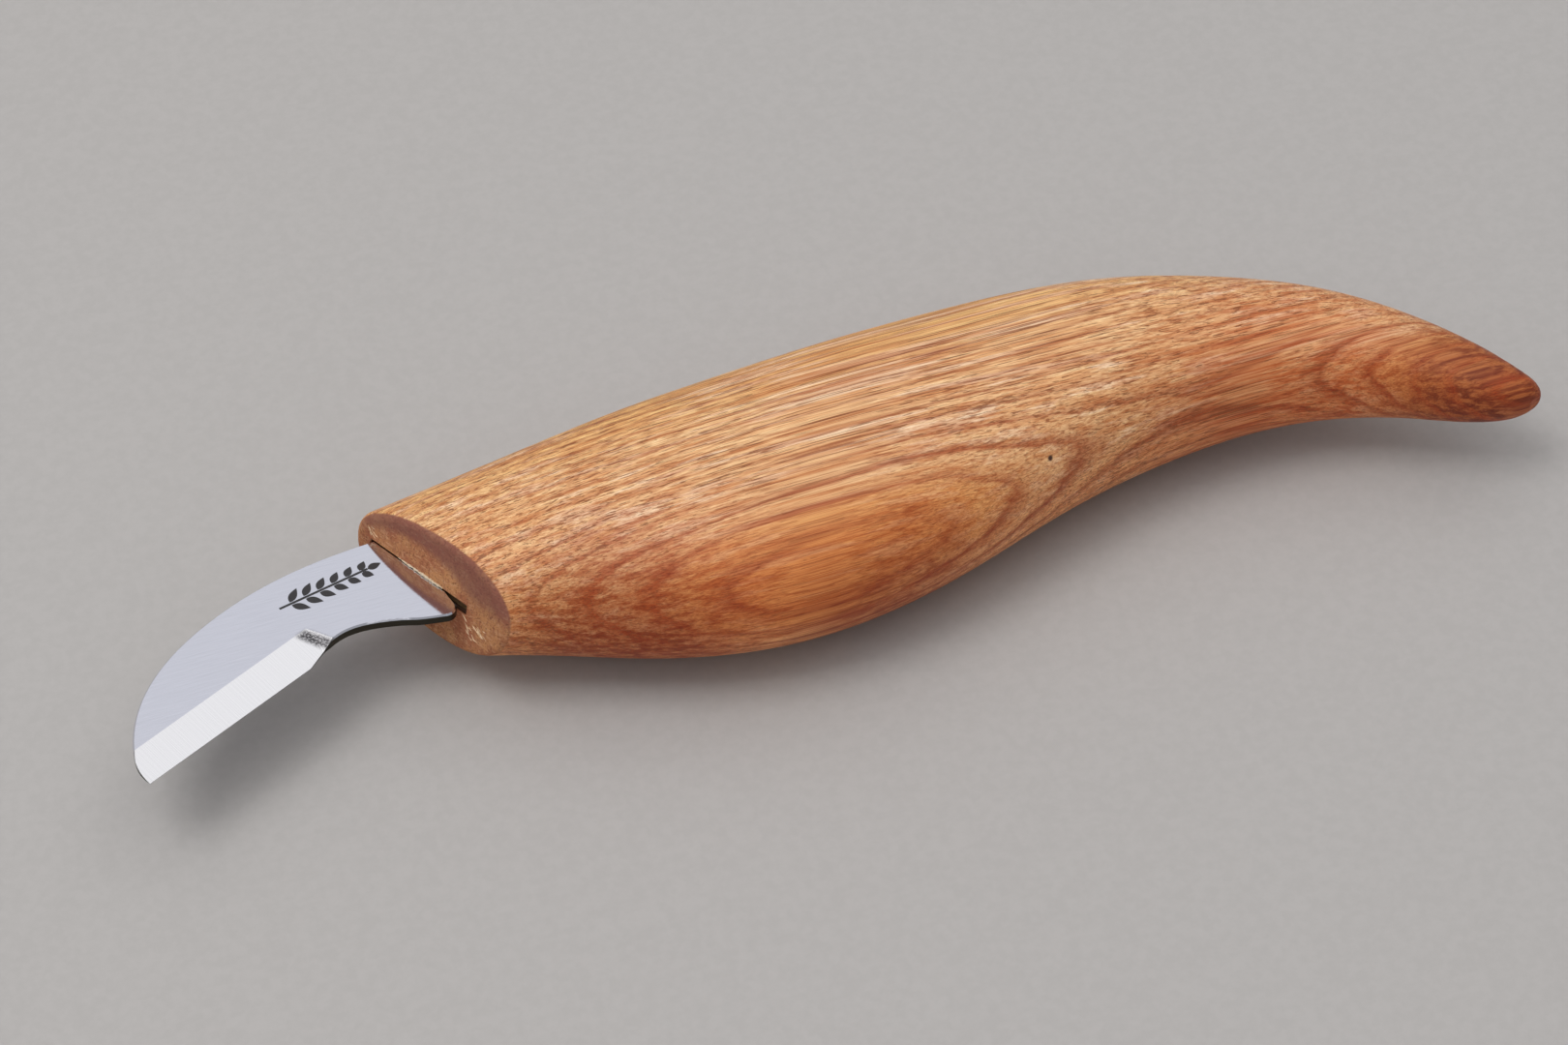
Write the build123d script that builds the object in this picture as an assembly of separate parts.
"""A short chip-carving and whittling knife, lying on its side.

The knife is three real pieces: a one-piece steel blade with a hidden tang, a carved hardwood handle
with a mortise for that tang, and the cured epoxy that fills the mortise and holds the two together.

Everything is drawn in the knife's own datum: the origin is where the middle of the blade enters the
handle, +X runs towards the tail, +Y towards the spine of the blade, and Z is the thickness, with the
middle of the blade at Z = 0. The finished solids are then moved so that the origin is the middle of
the underside of their common box and the knife lies on Z = 0. All lengths are in millimetres.
"""
from build123d import *
import math
import os

# ---- blade ---------------------------------------------------------------------------------
BLADE_THICKNESS = 1.3
EDGE_LAND = 0.05                    # thickness left at the cutting edge
EDGE_BREAK = 0.18                   # chamfer that breaks the corners of the blank
TIP = (-35.7, -18.65)               # the two ends of the straight cutting edge
HEEL = (-15.1, -9.15)
BEVEL_WIDTH = 4.3                   # from the cutting edge up to the grind line
# the spine sweeps from the handle down to the tip
SPINE_AT_HANDLE = (-3.0, 5.9)
SPINE_POINTS = [SPINE_AT_HANDLE, (-14.0, 4.45), (-24.3, 0.5), (-31.8, -5.2), (-35.5, -11.2),
                (-36.45, -15.6), TIP]
SPINE_DIRECTION, TIP_DIRECTION = (-1.0, -0.05), (0.45, -0.9)
# the choil is the hollow between the heel and the corner that meets the handle
CHOIL_FOOT = (-13.1, -7.4)
CHOIL_POINTS = [CHOIL_FOOT, (-10.4, -5.85), (-7.6, -5.6), (-3.4, -6.4)]
SHOULDER_CORNER = (2.8, -7.7)       # where the rounded corner would be if it were sharp
SHOULDER_RADIUS = 1.2
SHOULDER_DIRECTION = (1.0, -0.15)
PLUNGE_TOP = (-13.9, -4.1)          # where the grind line stops
PLUNGE_FOOT = (-11.6, -6.3)         # where the plunge meets the choil on the flat
CUTTER_SIZE = 200.0                 # larger than anything that it cuts

# ---- tang and its mortise ------------------------------------------------------------------
TANG_ROOT_WIDTH = 10.0
TANG_END_WIDTH = 6.5
TANG_END = (54.0, -4.4)             # middle of the tang's rounded end
TANG_RELIEF = 0.1                   # the tang is ground this much thinner on each side
TANG_KEY_RADIUS = 1.5               # two holes that the epoxy runs through
TANG_KEYS_AT = (0.4, 0.75)          # as fractions of the way to the tang's end
MORTISE_SIDE_GAP = 0.15             # from the blade's flat to the mortise's wall
MORTISE_END_GAP = 0.8               # epoxy around the tang's end
MORTISE_TOP, MORTISE_BOTTOM = 7.1, -8.0     # the mouth, measured along the front face
MOUTH_OVERRUN = 2.0                 # the cut runs this far out of the face
EPOXY_RECESS = 0.7                  # how far the epoxy stays below the front face

# ---- handle --------------------------------------------------------------------------------
FACE_SLANT_DEG = 28.0               # the front face is off square: its spine side is further forward
FACE_TILT_DEG = 9.0                 # and its underside is further forward too
FACE_AT = (-0.4, 0.0, 0.0)          # a point of the front face
FACE_ROUNDING = 0.9
SECTION_POWER = 2.25                # 2 is an ellipse; more is squarer
SECTION_POINTS = 24
# middle of the section (x, y), half its width across the blade plane, half its thickness
STATIONS = [
    (-10.0, -0.2, 8.2, 4.3),
    (-4.0, -0.4, 9.3, 5.9),
    (2.0, -0.8, 10.2, 7.3),
    (12.0, -1.6, 12.2, 9.1),
    (24.0, -2.9, 15.4, 10.5),
    (38.0, -3.9, 17.4, 11.4),
    (52.0, -2.6, 17.0, 11.6),
    (68.0, 0.0, 14.6, 11.0),
    (84.0, 1.1, 11.8, 10.5),
    (97.0, -0.4, 9.4, 9.0),
    (108.2, -4.0, 7.3, 7.5),
    (117.8, -10.2, 5.4, 5.6),
]
# the tail's round nose turns further down than the middle line: the same, then its turn in degrees
NOSE = [
    (122.8, -14.8, 4.2, 4.3, -8.0),
    (125.6, -17.4, 3.2, 3.2, -18.0),
    (127.4, -18.9, 2.1, 2.1, -27.0),
    (128.1, -19.5, 0.8, 0.8, -32.0),
]


def face_plane(depth=0.0):
    """The slanted front face, moved into the handle by depth. Its normal points out of the wood."""
    slant, tilt = math.radians(FACE_SLANT_DEG), math.radians(FACE_TILT_DEG)
    out = Vector(-math.cos(slant) * math.cos(tilt), -math.sin(slant) * math.cos(tilt), math.sin(tilt))
    up = along_face(1.0) - along_face(0.0)
    return Plane(origin=Vector(*FACE_AT) - out * depth, x_dir=up, z_dir=out)


def along_face(distance, outward=0.0):
    """A point of the blade's middle plane, this far towards the spine along the front face."""
    slant = math.radians(FACE_SLANT_DEG)
    up = Vector(-math.sin(slant), math.cos(slant), 0)
    out = Vector(-math.cos(slant), -math.sin(slant), 0)
    return Vector(*FACE_AT) + up * distance + out * outward


def section(middle, direction, half_width, half_thickness):
    """A closed superellipse across the handle, square to direction."""
    side = Vector(-direction.Y, direction.X, 0)
    points = []
    for i in range(SECTION_POINTS):
        angle = 2 * math.pi * i / SECTION_POINTS
        c, s = math.cos(angle), math.sin(angle)
        across = half_width * math.copysign(abs(c) ** (2 / SECTION_POWER), c)
        up = half_thickness * math.copysign(abs(s) ** (2 / SECTION_POWER), s)
        points.append(Vector(*middle, 0) + side * across + Vector(0, 0, up))
    return Face(Wire([Edge.make_spline(points, periodic=True)]))


def tang_root_middle():
    """The middle of the tang where it leaves the blade."""
    return along_face((MORTISE_TOP + MORTISE_BOTTOM) / 2)


def tang_directions():
    """Unit vectors along the tang, towards its end, and across it, towards the spine."""
    ahead = (Vector(*TANG_END, 0) - tang_root_middle()).normalized()
    return ahead, Vector(-ahead.Y, ahead.X, 0)


def mortise():
    """The pocket that is cut into the front face for the tang: wide at its mouth, round at its end."""
    top, bottom = along_face(MORTISE_TOP), along_face(MORTISE_BOTTOM)
    ahead, aside = tang_directions()
    end = Vector(*TANG_END, 0)
    half = TANG_END_WIDTH / 2 + MORTISE_END_GAP
    outline = [
        Polyline(end - aside * half, bottom, along_face(MORTISE_BOTTOM, MOUTH_OVERRUN),
                 along_face(MORTISE_TOP, MOUTH_OVERRUN), top, end + aside * half),
        ThreePointArc(end + aside * half, end + ahead * half, end - aside * half),
    ]
    half_height = BLADE_THICKNESS / 2 + MORTISE_SIDE_GAP
    wire = Wire([edge for part in outline for edge in part.edges()])
    return extrude(make_face(wire), amount=half_height, dir=(0, 0, 1), both=True)


def make_handle():
    """The carved wooden handle: a smooth loft along its bent middle, cut off at the slanted face."""
    stations = [(*station, 0.0) for station in STATIONS] + NOSE
    middle = Spline([station[:2] for station in stations])
    sections = []
    for x, y, half_width, half_thickness, turn in stations:
        direction = middle.tangent_at(middle.param_at_point((x, y))).rotate(Axis.Z, turn)
        sections.append(section((x, y), direction, half_width, half_thickness))
    body = loft(sections)
    body = split(body, face_plane(), keep=Keep.BOTTOM)
    front_rim = body.faces().sort_by(Axis.X)[0].edges()
    body = fillet(front_rim, FACE_ROUNDING)
    return body - mortise()


def blade_outline():
    """The blank's outline: spine, tip, straight edge, heel, choil, shoulder and the tapered tang."""
    ahead, aside = tang_directions()
    root_top = Vector(*SPINE_AT_HANDLE, 0)
    root_bottom = root_top + along_face(0) - along_face(TANG_ROOT_WIDTH)
    end, half = Vector(*TANG_END, 0), TANG_END_WIDTH / 2
    corner = Vector(*SHOULDER_CORNER, 0)
    heel_rise = Vector(*CHOIL_FOOT, 0) - Vector(*HEEL, 0)
    parts = [
        Spline(SPINE_POINTS, tangents=[SPINE_DIRECTION, TIP_DIRECTION]),
        Line(TIP, HEEL),
        Line(HEEL, CHOIL_FOOT),
        Spline([*CHOIL_POINTS, corner], tangents=[heel_rise, SHOULDER_DIRECTION]),
        Line(corner, root_bottom),
        Line(root_bottom, end - aside * half),
        ThreePointArc(end - aside * half, end + ahead * half, end + aside * half),
        Line(end + aside * half, root_top),
    ]
    return Wire([edge for part in parts for edge in part.edges()])


def bevel_cutter():
    """What grinding takes off the upper side: all that lies above the bevel and the plunge."""
    tip, heel = Vector(*TIP, 0), Vector(*HEEL, 0)
    along = (heel - tip).normalized()
    inward = Vector(-along.Y, along.X, 0)
    half, land = BLADE_THICKNESS / 2, EDGE_LAND / 2
    rise = (half - land) / BEVEL_WIDTH
    bevel = Plane(origin=tip + Vector(0, 0, land), x_dir=along, z_dir=Vector(0, 0, 1) - inward * rise)
    foot = Vector(*CHOIL_FOOT, 0)
    foot_height = land + rise * (foot - tip).dot(inward)
    top = Vector(*PLUNGE_TOP, half)
    down_line = Vector(*PLUNGE_FOOT, half) - top
    across = Vector(foot.X, foot.Y, foot_height) - top
    normal = down_line.cross(across)
    if normal.Z < 0:
        normal = normal * -1
    plunge = Plane(origin=top, x_dir=down_line, z_dir=normal)
    block = Box(CUTTER_SIZE, CUTTER_SIZE, CUTTER_SIZE)
    return split(split(block, bevel, keep=Keep.TOP), plunge, keep=Keep.TOP)


def tang_relief_cutter():
    """The thin slice that is ground off the tang's upper side, from the front face inwards."""
    inward = along_face(0, -1.0) - along_face(0)
    corner = along_face(0) + Vector(0, 0, BLADE_THICKNESS / 2 - TANG_RELIEF)
    start = Plane(origin=corner, x_dir=inward, z_dir=(0, 0, 1))
    beyond = (Align.MIN, Align.CENTER, Align.MIN)
    return start * Box(CUTTER_SIZE, CUTTER_SIZE, CUTTER_SIZE, align=beyond)


def make_blade():
    """The blade and its tang, ground from one strip of steel."""
    blank = extrude(make_face(blade_outline()), amount=BLADE_THICKNESS / 2, dir=(0, 0, 1), both=True)
    upright = blank.edges().filter_by(Axis.Z)
    shoulder = upright.sort_by_distance((*SHOULDER_CORNER, 0))[0:1]
    blank = fillet(shoulder, SHOULDER_RADIUS)
    flats = blank.faces().sort_by(Axis.Z)
    blank = chamfer(flats[0].edges() + flats[-1].edges(), EDGE_BREAK)
    cutter = bevel_cutter()
    blade = blank - cutter - mirror(cutter, Plane.XY)
    blade -= tang_relief_cutter() + mirror(tang_relief_cutter(), Plane.XY)
    root, end = tang_root_middle(), Vector(*TANG_END, 0)
    for fraction in TANG_KEYS_AT:
        at = root + (end - root) * fraction
        blade -= Pos(at.X, at.Y, 0) * Cylinder(TANG_KEY_RADIUS, CUTTER_SIZE)
    return blade


def make_epoxy(blade):
    """The cured epoxy: all of the mortise behind its recessed mouth that the tang doesn't fill."""
    return split(mortise(), face_plane(EPOXY_RECESS), keep=Keep.BOTTOM) - blade


def lay_down(solids):
    """Moves the finished solids so that the knife lies on Z = 0, centred on the origin."""
    boxes = [solid.bounding_box() for solid in solids.values()]
    middle_x = (min(box.min.X for box in boxes) + max(box.max.X for box in boxes)) / 2
    middle_y = (min(box.min.Y for box in boxes) + max(box.max.Y for box in boxes)) / 2
    shift = Location((-middle_x, -middle_y, -min(box.min.Z for box in boxes)))
    return {name: solid.moved(shift) for name, solid in solids.items()}, shift


def main():
    blade = make_blade()
    solids = {
        "blade": blade,
        "handle": make_handle(),
        "tang_epoxy": make_epoxy(blade),
    }
    placed, shift = lay_down(solids)
    os.makedirs("parts", exist_ok=True)
    for name, solid in placed.items():
        export_step(solid, f"parts/{name}.step")
    print("datum in the part's frame, mm:", tuple(round(v, 4) for v in shift.position))


main()
